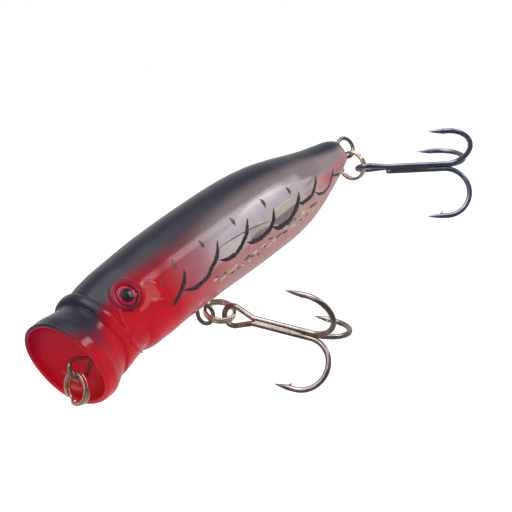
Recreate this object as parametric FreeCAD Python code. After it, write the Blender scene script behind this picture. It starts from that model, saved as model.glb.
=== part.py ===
import FreeCAD, Part
import math
import os

# A topwater popper: a hollow two-piece body with a cupped mouth, three wire hangers moulded in
# at nose, belly and tail, a split ring on each, and a treble hook on the belly and tail rings.
# All sizes are in millimetres. +X runs from the mouth to the tail, +Z is the back, and -Y is
# the left flank. Everything is drawn from the centre of the mouth rim on the body's long axis,
# and is then moved so that the centre of the line tie's loop is the origin.

# ---- driving dimensions ----
BODY_LENGTH = 80.0
WALL = 1.3
SECTION_POWER = 2.15        # 2 is an ellipse; a little more makes the flanks fuller

RIM_LEAN = 8.8              # the mouth leans so that the upper lip reaches further forward
RIM_MIDDLE = -1.47          # centre of the mouth rim below the body's long axis
CUP_RADIUS = 7.65
CUP_DEPTH = 5.6

WIRE_RADIUS = 0.4           # hanger wire
NECK_BEND = 1.2             # centreline radius where a loop closes onto its neck
NECK_FROM_LOOP = 3.2
NECK_CLEARANCE = 0.03       # half the gap between the neck's two wires
CHANNEL_CLEARANCE = 0.02    # round a wire or weight in the body
HANGER_LENGTH = 6.6         # from the open loop to the buried loop

TIE_LOOP = (1.8, -3.15, 1.8)    # x and z of an open loop's centre, and its centreline radius
BELLY_LOOP = (30.69, -9.31, 1.7)
TAIL_LOOP = (82.7, 0.15, 2.0)
LOOP_COVER = 0.7                # plastic round a buried loop

RING_RADIUS = 2.78          # centreline of a split ring's coils
RING_WIRE = 0.3
COIL_RISE = 0.31            # half the step between the two coils
JOG_ANGLE = 32.0            # turn over which the wire steps from one coil to the other
COIL_END_GAP = 5.0

HOOK_WIRE = 0.5             # radius
HOOK_EYE_RADIUS = 1.9
HOOK_EYE_BEND = 1.5
SHANK_START = 4.2           # from the eye's centre
SHANK_OFFSET = 0.6          # each shank's distance from the treble's axis
BEND_AT = 15.7              # from the eye's centre to the centre of the bend
BEND_RADIUS = 4.85
POINT_REACH = 4.0           # the point's tip behind the centre of the bend
POINT_TAPER = 2.7
TIP_RADIUS = 0.06
BRAZE_RADIUS = 0.84
BRAZE_SPAN = (4.6, 11.2)

EYE_PLACE = (13.7, -6.78, 3.0)
EYE_FACING = (-0.04, -0.963, 0.266)
EYE_RADIUS = 2.0
SOCKET_RADIUS = 2.06
SOCKET_RING_RADIUS = 2.9
SOCKET_PROUD = 0.3
SOCKET_DEPTH = 0.7
FOIL_THICKNESS = 0.25
DOME_HEIGHT = 0.9
DIMPLE_PLACE = (19.0, -7.6, 1.2)
DIMPLE_RADIUS = 1.5
DIMPLE_DEPTH = 0.35

BALL_RADIUS = 2.0
BALL_HEIGHT = -3.6
BALL_STATIONS = (40.9, 46.1, 51.3)
BALL_PLAY = 0.1
RIB = 0.8

TAIL_WEIGHT = (62.6, 69.4, 3.0, -0.3)     # from, to, radius, height of its axis
BELLY_WEIGHT = (19.6, 26.4, 1.6, -4.7)
WEIGHT_CHAMFER = 0.4

PLATE_THICKNESS = 0.3
PLATE_PLAY = 0.04
PLATE_LOWER_EDGE = -0.35
PLATE_ARCH = [(21, 2.4), (26, 5.0), (34, 6.5), (44, 6.9), (53, 5.9), (59.4, 3.2)]
PLATE_WINDOWS = (29.5, 38.5, 47.5)
WINDOW_LENGTH = 6.0
WINDOW_RADIUS = 1.2
WINDOW_MIDDLE = 3.2

WEIGHT_RIBS = (18.8, 27.2, 34.4, 60.6)    # the other ribs bound the rattle cells
HANGER_BLOCK = 2.2          # half width of the solid block round a buried loop
LOCATING_PINS = [(15.2, -1.8), (35.9, -4.2), (57.4, -3.8), (71.0, 1.9)]
PIN_RADIUS = 0.8
PIN_LENGTH = 1.2
PIN_HOLE_RADIUS = 0.84
PIN_HOLE_DEPTH = 1.5
PIN_BOSS_RADIUS = 1.7

# Where each split ring and treble hangs: a ring's centre, its axis and the side its jog is on;
# a treble's eye centre, the way its shank points and the way its eye opens sideways.
RINGS = {
    "nose_split_ring": ((0.1, 0.98, -5.84), (-0.923, -0.085, 0.375), (0.3, 0.5, -0.8)),
    "belly_split_ring": ((33.39, -0.59, -10.38), (-0.073, 0.708, -0.702), (0.2, 0.7, 0.6)),
    "tail_split_ring": ((81.97, 0.21, -3.67), (-0.963, -0.213, 0.166), (0, 0.8, 0.6)),
}
TREBLES = {
    "belly": ((34.95, -1.69, -12.49), (0.215, -0.774, -0.596), (0.343, -0.512, 0.788)),
    "tail": ((82.59, -2.29, -5.75), (0.659, -0.576, -0.483), (0.527, 0.812, -0.25)),
}

# Body sections: distance from the mouth, height of the widest point, rise above it, drop below
# it, half width, and lean in degrees.
STATIONS = [
    (0.0, RIM_MIDDLE, 8.56, 8.56, 8.72, RIM_LEAN),
    (2.2, -1.4, 8.55, 8.75, 8.5, RIM_LEAN),
    (4.0, -1.2, 8.4, 8.75, 8.05, 6.0),
    (5.4, -0.9, 8.35, 8.5, 7.6, 3.0),
    (7.1, -0.6, 9.15, 8.35, 7.25, 1.0),
    (9.0, -0.3, 8.75, 8.2, 7.15, 0.0),
    (12.0, 0.0, 8.8, 7.65, 7.1, 0.0),
    (14.3, 0.0, 9.05, 7.2, 7.2, 0.0),
    (16.8, 0.0, 9.25, 7.9, 7.55, 0.0),
    (21.0, 0.0, 9.55, 7.95, 7.6, 0.0),
    (26.0, 0.0, 9.85, 7.75, 7.75, 0.0),
    (35.0, 0.0, 9.98, 7.78, 7.84, 0.0),
    (44.0, 0.0, 9.87, 8.0, 7.88, 0.0),
    (50.0, 0.0, 9.6, 8.11, 7.79, 0.0),
    (56.0, 0.0, 8.92, 8.11, 7.47, 0.0),
    (62.0, 0.0, 7.6, 7.65, 6.72, 0.0),
    (67.0, 0.0, 6.2, 6.65, 5.65, 0.0),
    (71.0, 0.0, 5.17, 5.5, 4.69, 0.0),
    (75.0, 0.0, 4.36, 4.2, 3.75, 0.0),
    (78.4, 0.0, 3.62, 2.95, 2.9, 0.0),
    (BODY_LENGTH, 0.0, 2.9, 2.3, 2.3, 0.0),
]
SECTION_ANGLES = (90, 67, 45, 22, 0, -22, -45, -67, -90)
CAVITY_FROM = 4.0
CAVITY_TO = 78.4

LEFT = -1
RIGHT = 1


def vec(x, y, z):
    return FreeCAD.Vector(x, y, z)


def power(value, exponent):
    return math.copysign(abs(value) ** exponent, value)


def export(name, shape):
    moved = shape.copy()
    moved.translate(vec(-TIE_LOOP[0], 0, -TIE_LOOP[1]))
    moved.exportStep("parts/" + name + ".step")
    print(name, "solids", len(moved.Solids), "valid", moved.isValid(), "mm3", round(moved.Volume, 2))


def box(x0, x1, y0, y1, z0, z1):
    return Part.makeBox(x1 - x0, y1 - y0, z1 - z0, vec(x0, y0, z0))


# ---- body ----
def section(station, side, inset):
    """Half of one cross section, closed along the split plane."""
    x, middle, rise, drop, half_width, lean = station
    points = []
    for degrees in SECTION_ANGLES:
        angle = math.radians(degrees)
        reach = (rise if degrees > 0 else drop) - inset
        up = reach * power(math.sin(angle), 2 / SECTION_POWER)
        out = side * (half_width - inset) * power(math.cos(angle), 2 / SECTION_POWER)
        if abs(degrees) == 90:
            out = 0
        points.append(vec(x - up * math.tan(math.radians(lean)), out, middle + up))
    outline = Part.BSplineCurve()
    outline.interpolate(Points=points, InitialTangent=vec(0, side, 0), FinalTangent=vec(0, -side, 0))
    return Part.Wire([outline.toShape(), Part.makeLine(points[-1], points[0])])


def half_body(side, inset=0.0):
    chosen = STATIONS
    if inset:
        chosen = [s for s in STATIONS if CAVITY_FROM <= s[0] <= CAVITY_TO]
    return Part.makeLoft([section(s, side, inset) for s in chosen], True, False)


def cup(grow):
    """The mouth's dish, a half ellipsoid about the leaning axis of the rim."""
    radius = CUP_RADIUS + grow
    depth = CUP_DEPTH + grow
    steps = (0, 20, 40, 58, 74, 90)
    points = []
    for degrees in steps:
        angle = math.radians(degrees)
        points.append(vec(depth * math.sin(angle), 0, radius * math.cos(angle)))
    curve = Part.BSplineCurve()
    curve.interpolate(Points=points, InitialTangent=vec(1, 0, 0), FinalTangent=vec(0, 0, -1))
    front = -4.0
    profile = Part.Wire([
        Part.makeLine(vec(front, 0, 0), vec(front, 0, radius)),
        Part.makeLine(vec(front, 0, radius), points[0]),
        curve.toShape(),
        Part.makeLine(points[-1], vec(front, 0, 0)),
    ])
    dish = Part.Face(profile).revolve(vec(0, 0, 0), vec(1, 0, 0), 360)
    dish.rotate(vec(0, 0, 0), vec(0, 1, 0), -RIM_LEAN)
    dish.translate(vec(0, 0, RIM_MIDDLE))
    return dish


def eye_axis(side):
    place = vec(EYE_PLACE[0], -side * EYE_PLACE[1], EYE_PLACE[2])
    facing = vec(EYE_FACING[0], -side * EYE_FACING[1], EYE_FACING[2])
    facing.normalize()
    return place, facing


def eye_cylinder(side, radius, low, high):
    place, facing = eye_axis(side)
    return Part.makeCylinder(radius, high - low, place + facing * low, facing)


def rib_stations():
    """Ribs each side of the rattle cells, the weights and the belly hanger."""
    half_cell = (BALL_STATIONS[1] - BALL_STATIONS[0]) / 2
    cells = [x - half_cell for x in BALL_STATIONS] + [BALL_STATIONS[-1] + half_cell]
    return cells + list(WEIGHT_RIBS)


def saddle(weight, share):
    """A rib that carries a round weight, a share of the way along it."""
    start, end, radius, height = weight
    x = start + share * (end - start)
    return box(x - RIB / 2, x + RIB / 2, -9, 9, -9, height + radius * 0.6)


def inner_features(side):
    """What stays solid inside the shell: ribs, bosses, saddles and the rattle box."""
    ends = rib_stations()
    shapes = [box(x - RIB / 2, x + RIB / 2, -9, 9, -11, 11) for x in ends]
    cell_from, cell_to = ends[0], ends[len(BALL_STATIONS)]
    floor = BALL_HEIGHT - BALL_RADIUS - BALL_PLAY
    roof = BALL_HEIGHT + BALL_RADIUS + BALL_PLAY
    shapes.append(box(cell_from, cell_to, -9, 9, -11, floor))
    shapes.append(box(cell_from, cell_to, -9, 9, roof, roof + RIB))
    for weight in (TAIL_WEIGHT, BELLY_WEIGHT):
        shapes += [saddle(weight, 0.2), saddle(weight, 0.8)]
    wide = HANGER_BLOCK
    x, z, size = TIE_LOOP
    cover = size + WIRE_RADIUS + LOOP_COVER
    shapes.append(box(CAVITY_FROM, x + HANGER_LENGTH + cover, -wide, wide, z - cover, z + cover))
    x, z, size = BELLY_LOOP
    cover = size + WIRE_RADIUS + LOOP_COVER
    shapes.append(box(x - cover, x + cover, -wide, wide, -11, z + HANGER_LENGTH + cover))
    x, z, size = TAIL_LOOP
    cover = size + WIRE_RADIUS + LOOP_COVER
    shapes.append(box(x - HANGER_LENGTH - cover, BODY_LENGTH, -wide, wide, z - cover, z + cover))
    for x, z in LOCATING_PINS:
        shapes.append(Part.makeCylinder(PIN_BOSS_RADIUS, 18, vec(x, -9, z), vec(0, 1, 0)))
    shapes.append(eye_cylinder(side, SOCKET_RING_RADIUS, -2.2, 0.5))
    half = box(-5, 90, 0, 9, -12, 12) if side == RIGHT else box(-5, 90, -9, 0, -12, 12)
    return [shape.common(half) for shape in shapes]


def dimple(side):
    """A shallow round recess on the cheek, behind the eye."""
    ball = (DIMPLE_RADIUS ** 2 + DIMPLE_DEPTH ** 2) / (2 * DIMPLE_DEPTH)
    x, y, z = DIMPLE_PLACE
    return Part.makeSphere(ball, vec(x, -side * (y + DIMPLE_DEPTH - ball), z))


def body_shell(side, wires, plate_slot, weights):
    outer = half_body(side)
    ring = eye_cylinder(side, SOCKET_RING_RADIUS, -1.0, SOCKET_PROUD)
    outer = outer.fuse(ring)
    cavity = half_body(side, WALL).cut(cup(WALL)).cut(inner_features(side))
    shell = outer.cut(cup(0)).cut(cavity)
    shell = shell.cut(eye_cylinder(side, SOCKET_RADIUS, -SOCKET_DEPTH, 2)).cut(dimple(side))
    shell = shell.cut(wires + [plate_slot] + weights)
    for x, z in LOCATING_PINS:
        if side == LEFT:
            root = vec(x, -PIN_LENGTH, z)
            shell = shell.fuse(Part.makeCylinder(PIN_RADIUS, 2 * PIN_LENGTH, root, vec(0, 1, 0)))
        else:
            root = vec(x, 0, z)
            shell = shell.cut(Part.makeCylinder(PIN_HOLE_RADIUS, PIN_HOLE_DEPTH, root, vec(0, 1, 0)))
    return shell.removeSplitter()


# ---- wire loops ----
def neck(loop_radius, bend_radius, half_gap, bend_at):
    """Points of one side of a loop that closes onto a straight neck along +u.

    The path runs from the neck at (bend_at, half_gap) round a small bend, along a straight
    flank and onto the loop's circle about the origin.
    """
    bend = (bend_at, half_gap + bend_radius)
    span = math.hypot(bend[0], bend[1])
    lean = math.asin((loop_radius + bend_radius) / span) - math.atan2(bend[1], bend[0])
    normal = (math.sin(lean), math.cos(lean))
    middle = (math.sin(lean / 2), math.cos(lean / 2))
    start = (bend_at, half_gap)
    halfway = (bend[0] - bend_radius * middle[0], bend[1] - bend_radius * middle[1])
    flank = (bend[0] - bend_radius * normal[0], bend[1] - bend_radius * normal[1])
    touch = (loop_radius * normal[0], loop_radius * normal[1])
    return start, halfway, flank, touch


def sweep(edges, start, heading, radius):
    profile = Part.Wire([Part.makeCircle(radius, start, heading)])
    return Part.Wire(edges).makePipeShell([profile], True, False)


def loop_edges(place, loop_radius, bend_radius, half_gap, bend_at):
    """Edges of a whole loop, from one side of the neck to the other; place maps (u, v)."""
    start, halfway, flank, touch = neck(loop_radius, bend_radius, half_gap, bend_at)
    return [
        Part.Arc(place(*start), place(*halfway), place(*flank)).toShape(),
        Part.makeLine(place(*flank), place(*touch)),
        Part.Arc(place(*touch), place(-loop_radius, 0), place(touch[0], -touch[1])).toShape(),
        Part.makeLine(place(touch[0], -touch[1]), place(flank[0], -flank[1])),
        Part.Arc(place(flank[0], -flank[1]), place(halfway[0], -halfway[1]),
                 place(start[0], -start[1])).toShape(),
    ]


def hanger(loop, inward, radius=WIRE_RADIUS):
    """A dog-bone wire: an open loop outside, two straight necks and a loop buried in the body."""
    half_gap = WIRE_RADIUS + NECK_CLEARANCE
    across = vec(-inward.z, 0, inward.x)
    x, z, size = loop

    def place(u, v):
        return vec(x, 0, z) + inward * u + across * v

    def mirrored(u, v):
        return place(HANGER_LENGTH - u, -v)

    near, far = NECK_FROM_LOOP, HANGER_LENGTH - NECK_FROM_LOOP
    edges = loop_edges(place, size, NECK_BEND, half_gap, near)
    edges.append(Part.makeLine(place(near, -half_gap), place(far, -half_gap)))
    edges += loop_edges(mirrored, size, NECK_BEND, half_gap, near)
    edges.append(Part.makeLine(place(far, half_gap), place(near, half_gap)))
    return sweep(edges, place(near, half_gap), inward, radius)


# ---- split rings ----
def ring_point(degrees, height):
    angle = math.radians(degrees)
    return vec(RING_RADIUS * math.cos(angle), RING_RADIUS * math.sin(angle), height)


def split_ring(centre, axis, jog_toward):
    """Two flat coils of one wire that steps from the lower coil to the upper."""
    last = 360 - JOG_ANGLE
    jog = Part.BSplineCurve()
    halfway = ring_point(360 - JOG_ANGLE / 2, 0)
    angle = math.radians(last)
    leave = vec(-math.sin(angle), math.cos(angle), 0)
    jog.interpolate(Points=[ring_point(last, -COIL_RISE), halfway, ring_point(360, COIL_RISE)],
                    InitialTangent=leave, FinalTangent=vec(0, 1, 0))
    end = last - COIL_END_GAP
    edges = [
        Part.Arc(ring_point(0, -COIL_RISE), ring_point(last / 2, -COIL_RISE),
                 ring_point(last, -COIL_RISE)).toShape(),
        jog.toShape(),
        Part.Arc(ring_point(0, COIL_RISE), ring_point(end / 2, COIL_RISE),
                 ring_point(end, COIL_RISE)).toShape(),
    ]
    ring = sweep(edges, ring_point(0, -COIL_RISE), vec(0, 1, 0), RING_WIRE)
    ring.Placement = FreeCAD.Placement(vec(*centre), FreeCAD.Rotation(vec(*jog_toward), vec(0, 0, 0),
                                                                      vec(*axis), "ZXY"))
    return ring


# ---- treble hooks ----
def hook_point(u, out, degrees):
    """A point at distance out from the treble's axis, in the half plane at this angle."""
    angle = math.radians(degrees)
    return vec(u, out * math.cos(angle), out * math.sin(angle))


def bend_edges(degrees, shank_from):
    """One hook's shank, bend and straight point, from the shank's start to the taper."""
    far = SHANK_OFFSET + 2 * BEND_RADIUS
    taper_at = BEND_AT - POINT_REACH + POINT_TAPER
    return [
        Part.makeLine(hook_point(shank_from, SHANK_OFFSET, degrees),
                      hook_point(BEND_AT, SHANK_OFFSET, degrees)),
        Part.Arc(hook_point(BEND_AT, SHANK_OFFSET, degrees),
                 hook_point(BEND_AT + BEND_RADIUS, SHANK_OFFSET + BEND_RADIUS, degrees),
                 hook_point(BEND_AT, far, degrees)).toShape(),
        Part.makeLine(hook_point(BEND_AT, far, degrees), hook_point(taper_at, far, degrees)),
    ]


def needle(degrees):
    far = SHANK_OFFSET + 2 * BEND_RADIUS
    base = hook_point(BEND_AT - POINT_REACH + POINT_TAPER, far, degrees)
    return Part.makeCone(HOOK_WIRE, TIP_RADIUS, POINT_TAPER, base, vec(-1, 0, 0))


def double_hook():
    """One wire: a point, bend and shank, the eye, and back down to the other point."""
    height = SHANK_OFFSET * math.sin(math.radians(30))
    half_gap = SHANK_OFFSET * math.cos(math.radians(30))
    right = bend_edges(30, SHANK_START)
    left = bend_edges(150, SHANK_START)

    def place(u, v):
        return vec(u, v, height)

    eye = loop_edges(place, HOOK_EYE_RADIUS, HOOK_EYE_BEND, half_gap, SHANK_START)
    tip = hook_point(BEND_AT - POINT_REACH + POINT_TAPER, SHANK_OFFSET + 2 * BEND_RADIUS, 30)
    path = right[::-1] + eye + left
    return sweep(path, tip, vec(1, 0, 0), HOOK_WIRE).fuse([needle(30), needle(150)])


def single_hook():
    start = hook_point(SHANK_START, SHANK_OFFSET, -90)
    hook = sweep(bend_edges(-90, SHANK_START), start, vec(1, 0, 0), HOOK_WIRE)
    return hook.fuse(needle(-90))


def braze(double, single):
    """The filler that flows along the grooves between the three shanks."""
    start, end = BRAZE_SPAN
    rod = Part.makeCylinder(BRAZE_RADIUS, end - start, vec(start, 0, 0), vec(1, 0, 0))
    return rod.cut([double, single])


def treble(prefix, eye, shank, across):
    u = vec(*shank)
    v = vec(*across)
    w = u.cross(v)
    pose = FreeCAD.Placement(vec(*eye), FreeCAD.Rotation(u, v, w, "XYZ"))
    double = double_hook()
    single = single_hook()
    pieces = {"double_hook": double, "single_hook": single, "braze": braze(double, single)}
    for name, shape in pieces.items():
        shape.Placement = pose
        export(prefix + "_" + name, shape)


# ---- inner parts ----
def plate_blank(grow=0.0):
    """A thin plate on the split plane, arched along its top."""
    arch = Part.BSplineCurve()
    points = [vec(x, 0, z + grow) for x, z in PLATE_ARCH]
    points[0].x -= grow
    points[-1].x += grow
    arch.interpolate(points)
    front = vec(points[0].x, 0, PLATE_LOWER_EDGE - grow)
    back = vec(points[-1].x, 0, PLATE_LOWER_EDGE - grow)
    edges = [
        arch.toShape(),
        Part.makeLine(points[-1], back),
        Part.makeLine(back, front),
        Part.makeLine(front, points[0]),
    ]
    half = PLATE_THICKNESS / 2 + grow
    plate = Part.Face(Part.Wire(edges)).extrude(vec(0, 2 * half, 0))
    plate.translate(vec(0, -half, 0))
    return plate


def reflector_plate():
    """The foil plate with its row of round-ended windows."""
    plate = plate_blank()
    across = vec(0, 1, 0)
    for x in PLATE_WINDOWS:
        end = x + WINDOW_LENGTH
        window = box(x, end, -1, 1, WINDOW_MIDDLE - WINDOW_RADIUS, WINDOW_MIDDLE + WINDOW_RADIUS)
        rounds = [Part.makeCylinder(WINDOW_RADIUS, 2, vec(at, -1, WINDOW_MIDDLE), across) for at in (x, end)]
        plate = plate.cut([window] + rounds)
    return plate


def weight(size, grow=0.0):
    start, end, radius, height = size
    length = end - start
    rod = Part.makeCylinder(radius + grow, length + 2 * grow, vec(start - grow, 0, height), vec(1, 0, 0))
    if grow:
        return rod
    return rod.makeChamfer(WEIGHT_CHAMFER, [e for e in rod.Edges if isinstance(e.Curve, Part.Circle)])


def eye_foil(side):
    return eye_cylinder(side, EYE_RADIUS, -SOCKET_DEPTH, FOIL_THICKNESS - SOCKET_DEPTH)


def eye_dome(side):
    """A clear resin cap on the foil."""
    place, facing = eye_axis(side)
    base = FOIL_THICKNESS - SOCKET_DEPTH
    ball = (EYE_RADIUS ** 2 + DOME_HEIGHT ** 2) / (2 * DOME_HEIGHT)
    sphere = Part.makeSphere(ball, place + facing * (base + DOME_HEIGHT - ball))
    return sphere.common(eye_cylinder(side, EYE_RADIUS + 0.5, base, base + 2))


def build():
    os.makedirs("parts", exist_ok=True)
    wires = {
        "line_tie_wire": (TIE_LOOP, vec(1, 0, 0)),
        "belly_hanger_wire": (BELLY_LOOP, vec(0, 0, 1)),
        "tail_hanger_wire": (TAIL_LOOP, vec(-1, 0, 0)),
    }
    channels = []
    for name, (loop, inward) in wires.items():
        export(name, hanger(loop, inward))
        channels.append(hanger(loop, inward, WIRE_RADIUS + CHANNEL_CLEARANCE))
    seats = [weight(TAIL_WEIGHT, CHANNEL_CLEARANCE), weight(BELLY_WEIGHT, CHANNEL_CLEARANCE)]
    slot = plate_blank(PLATE_PLAY)
    for name, side in (("left", LEFT), ("right", RIGHT)):
        export("body_shell_" + name, body_shell(side, channels, slot, seats))
        export("eye_foil_" + name, eye_foil(side))
        export("eye_dome_" + name, eye_dome(side))
    export("reflector_plate", reflector_plate())
    export("tail_weight", weight(TAIL_WEIGHT))
    export("belly_weight", weight(BELLY_WEIGHT))
    for name, x in zip(("front", "middle", "rear"), BALL_STATIONS):
        export("rattle_ball_" + name, Part.makeSphere(BALL_RADIUS, vec(x, 0, BALL_HEIGHT)))
    for name, (centre, axis, jog_toward) in RINGS.items():
        export(name, split_ring(centre, axis, jog_toward))
    for name, (eye, shank, across) in TREBLES.items():
        treble(name, eye, shank, across)


build()
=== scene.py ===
import math

import bmesh
import bpy
import numpy as np
from mathutils import Matrix, Vector


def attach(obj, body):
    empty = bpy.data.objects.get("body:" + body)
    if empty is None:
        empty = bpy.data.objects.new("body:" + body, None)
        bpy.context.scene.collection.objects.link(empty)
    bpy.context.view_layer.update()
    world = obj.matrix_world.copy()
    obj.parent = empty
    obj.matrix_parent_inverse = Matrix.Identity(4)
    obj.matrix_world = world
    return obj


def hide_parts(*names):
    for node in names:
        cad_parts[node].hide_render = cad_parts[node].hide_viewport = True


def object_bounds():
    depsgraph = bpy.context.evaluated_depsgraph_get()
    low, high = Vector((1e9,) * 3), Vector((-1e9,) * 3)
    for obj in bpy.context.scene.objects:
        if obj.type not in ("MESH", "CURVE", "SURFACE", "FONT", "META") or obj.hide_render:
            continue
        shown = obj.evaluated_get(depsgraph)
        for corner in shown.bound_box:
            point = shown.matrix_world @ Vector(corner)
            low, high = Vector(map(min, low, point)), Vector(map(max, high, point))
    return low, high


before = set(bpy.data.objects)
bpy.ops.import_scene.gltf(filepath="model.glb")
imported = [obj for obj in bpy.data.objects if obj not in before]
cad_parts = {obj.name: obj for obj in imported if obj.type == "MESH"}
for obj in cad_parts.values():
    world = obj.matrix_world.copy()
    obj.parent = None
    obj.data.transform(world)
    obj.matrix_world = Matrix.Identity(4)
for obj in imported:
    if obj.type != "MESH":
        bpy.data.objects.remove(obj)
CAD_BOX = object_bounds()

# A topwater popper. Shapes are worked out in millimetres from the centre of the mouth rim on
# the body's long axis (+X to the tail, +Z to the back, -Y to the left flank), and are then
# moved into the frame, whose origin is the centre of the line tie's loop.

MM = 0.001
TIE = np.array((1.8, 0.0, -3.15))
BODY_LENGTH = 80.0
SECTION_POWER = 2.15

# Body sections: distance from the mouth, height of the widest point, rise above it, drop below
# it, half width, and lean in degrees. The collar and the gill edges are added by relief().
# The rows from 21 mm to 78.4 mm, and the camera, ring and treble placings, started as fits to the
# photograph; many marking and paint points were mapped from it.
STATIONS = np.array([
    (0.0, -1.47, 8.86, 8.62, 8.80, 8.8),
    (2.2, -1.40, 8.88, 8.75, 8.50, 8.8),
    (4.0, -1.20, 8.45, 8.55, 7.85, 6.0),
    (5.6, -0.90, 8.02, 8.25, 7.35, 3.0),
    (7.1, -0.60, 8.08, 7.90, 7.00, 1.5),
    (9.0, -0.30, 8.35, 7.62, 6.90, 0.0),
    (12.0, 0.0, 8.72, 7.25, 6.95, 0.0),
    (14.3, 0.0, 9.05, 7.08, 7.12, 0.0),
    (15.3, 0.0, 9.14, 7.62, 7.35, 0.0),
    (16.8, 0.0, 9.25, 7.95, 7.55, 0.0),
    (21.0, 0.0, 9.55, 7.95, 7.60, 0.0),
    (26.0, 0.0, 9.85, 7.75, 7.75, 0.0),
    (35.0, 0.0, 9.98, 7.78, 7.84, 0.0),
    (44.0, 0.0, 9.87, 8.0, 7.88, 0.0),
    (50.0, 0.0, 9.6, 8.11, 7.79, 0.0),
    (56.0, 0.0, 8.92, 8.11, 7.47, 0.0),
    (62.0, 0.0, 7.6, 7.65, 6.72, 0.0),
    (67.0, 0.0, 6.2, 6.65, 5.65, 0.0),
    (71.0, 0.0, 5.17, 5.5, 4.69, 0.0),
    (75.0, 0.0, 4.36, 4.2, 3.75, 0.0),
    (78.4, 0.0, 3.62, 2.95, 2.9, 0.0),
    (BODY_LENGTH, 0.0, 2.9, 2.3, 2.3, 0.0),
])
RIM_LEAN = math.radians(STATIONS[0, 5])
RIM_CENTRE = np.array((0.0, 0.0, STATIONS[0, 1]))
LIP = 0.42                  # radius of the rounded lip
CUP_DEPTH = 5.2             # beyond the lip
TAIL_ROUND = 0.5
WALL = 1.3

EYE_PLACE = np.array((13.7, -6.78, 3.0))
EYE_FACING = np.array((-0.04, -0.963, 0.266))
EYE_RADIUS = 2.0
PUPIL_RADIUS = 1.3
SOCKET_INNER = 2.02
SOCKET_OUTER = 2.92
SOCKET_PROUD = 0.34
SOCKET_SHIFT = (-0.2, 0.16)     # the ring's outside is off centre, forward and up
IRIS_EDGE = -0.06               # heights above the eye's seat plane
IRIS_CROWN = 0.24
IRIS_THICK = 0.15
IRIS_PLAY = 0.02                # how far the iris stops short of the eye's radius
PUPIL_LIFT = 0.02               # of the pupil over the iris
DOME_GAP = 0.03                 # between the iris and the clear dome
DOME_CROWN = 0.52

WIRE_RADIUS = 0.4
NECK_BEND = 1.2
NECK_FROM_LOOP = 3.2
NECK_HALF_GAP = 0.43
HANGER_LENGTH = 6.6
RING_RADIUS = 2.78
RING_HALF_WIDE = 0.3
COIL_RISE = 0.31
JOG_ANGLE = 32.0
COIL_END_GAP = 5.0

HOOK_WIRE = 0.53
HOOK_EYE_RADIUS = 1.9
HOOK_EYE_BEND = 1.5
SHANK_START = 4.2
SHANK_OFFSET = 0.6
FILLER_RUN = (11.0, 14.4)
FILLER_RADIUS = 0.82
BEND_AT = 15.7
BEND_RADIUS = 4.85
POINT_REACH = 4.0
POINT_TAPER = 2.7
TIP_RADIUS = 0.06
BARB_FROM_TIP = 3.1
BARB_HEIGHT = 0.58

# An open loop's x, z and radius, and the way into the body.
HANGERS = {
    "line_tie_wire": ((TIE[0], TIE[2], 1.8), (1, 0, 0)),
    "belly_hanger_wire": ((30.69, -9.31, 1.7), (0, 0, 1)),
    "tail_hanger_wire": ((82.7, 0.15, 2.0), (-1, 0, 0)),
}
# A ring's centre, its axis and the side its jog is on.
RINGS = {
    "nose": ((0.1, 0.98, -5.84), (-0.923, -0.085, 0.375), (0.3, 0.5, -0.8)),
    "belly": ((33.39, -0.59, -10.38), (-0.073, 0.708, -0.702), (0.2, 0.7, 0.6)),
    "tail": ((81.97, 0.21, -3.67), (-0.963, -0.213, 0.166), (0, 0.8, 0.6)),
}
# A treble's eye centre, the way its shank points and the way its eye opens sideways.
TREBLES = {
    "belly": ((34.95, -1.69, -12.49), (0.215, -0.774, -0.596), (0.343, -0.512, 0.788)),
    "tail": ((82.59, -2.29, -5.75), (0.659, -0.576, -0.483), (0.527, 0.812, -0.25)),
}

LEFT = -1
RIGHT = 1
SIDES = {"left": LEFT, "right": RIGHT}


# ---- small maths ----
def unit(vector):
    vector = np.asarray(vector, float)
    return vector / np.linalg.norm(vector)


def smooth(value, low, high):
    """0 below low, 1 above high, and an even S between."""
    t = np.clip((value - low) / (high - low), 0, 1)
    return t * t * (3 - 2 * t)


def mix(a, b, share):
    return a + (b - a) * np.asarray(share)[..., None]


def hermite(xs, ys, x):
    """A smooth curve through points that never overshoots them."""
    h = np.diff(xs)
    slope = np.diff(ys) / h
    safe = np.where(slope == 0, 1e-9, slope)
    before, after = safe[:-1], safe[1:]
    weight = 3 * (h[:-1] + h[1:])
    inner = weight / ((2 * h[1:] + h[:-1]) / before + (h[1:] + 2 * h[:-1]) / after)
    tangent = np.concatenate([slope[:1], np.where(before * after > 0, inner, 0), slope[-1:]])
    i = np.clip(np.searchsorted(xs, x) - 1, 0, len(xs) - 2)
    t = (x - xs[i]) / h[i]
    rise = (2 * t**3 - 3 * t**2 + 1) * ys[i] + (3 * t**2 - 2 * t**3) * ys[i + 1]
    return rise + h[i] * ((t**3 - 2 * t**2 + t) * tangent[i] + (t**3 - t**2) * tangent[i + 1])


def along(table, at):
    """Reads one curve out of a table of (place, value) pairs."""
    places, values = np.array(table, float).T
    return np.interp(at, places, values)


def signed_power(value, exponent):
    return np.sign(value) * np.abs(value) ** exponent


def to_frame(points):
    return (np.asarray(points, float) - TIE) * MM


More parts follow.
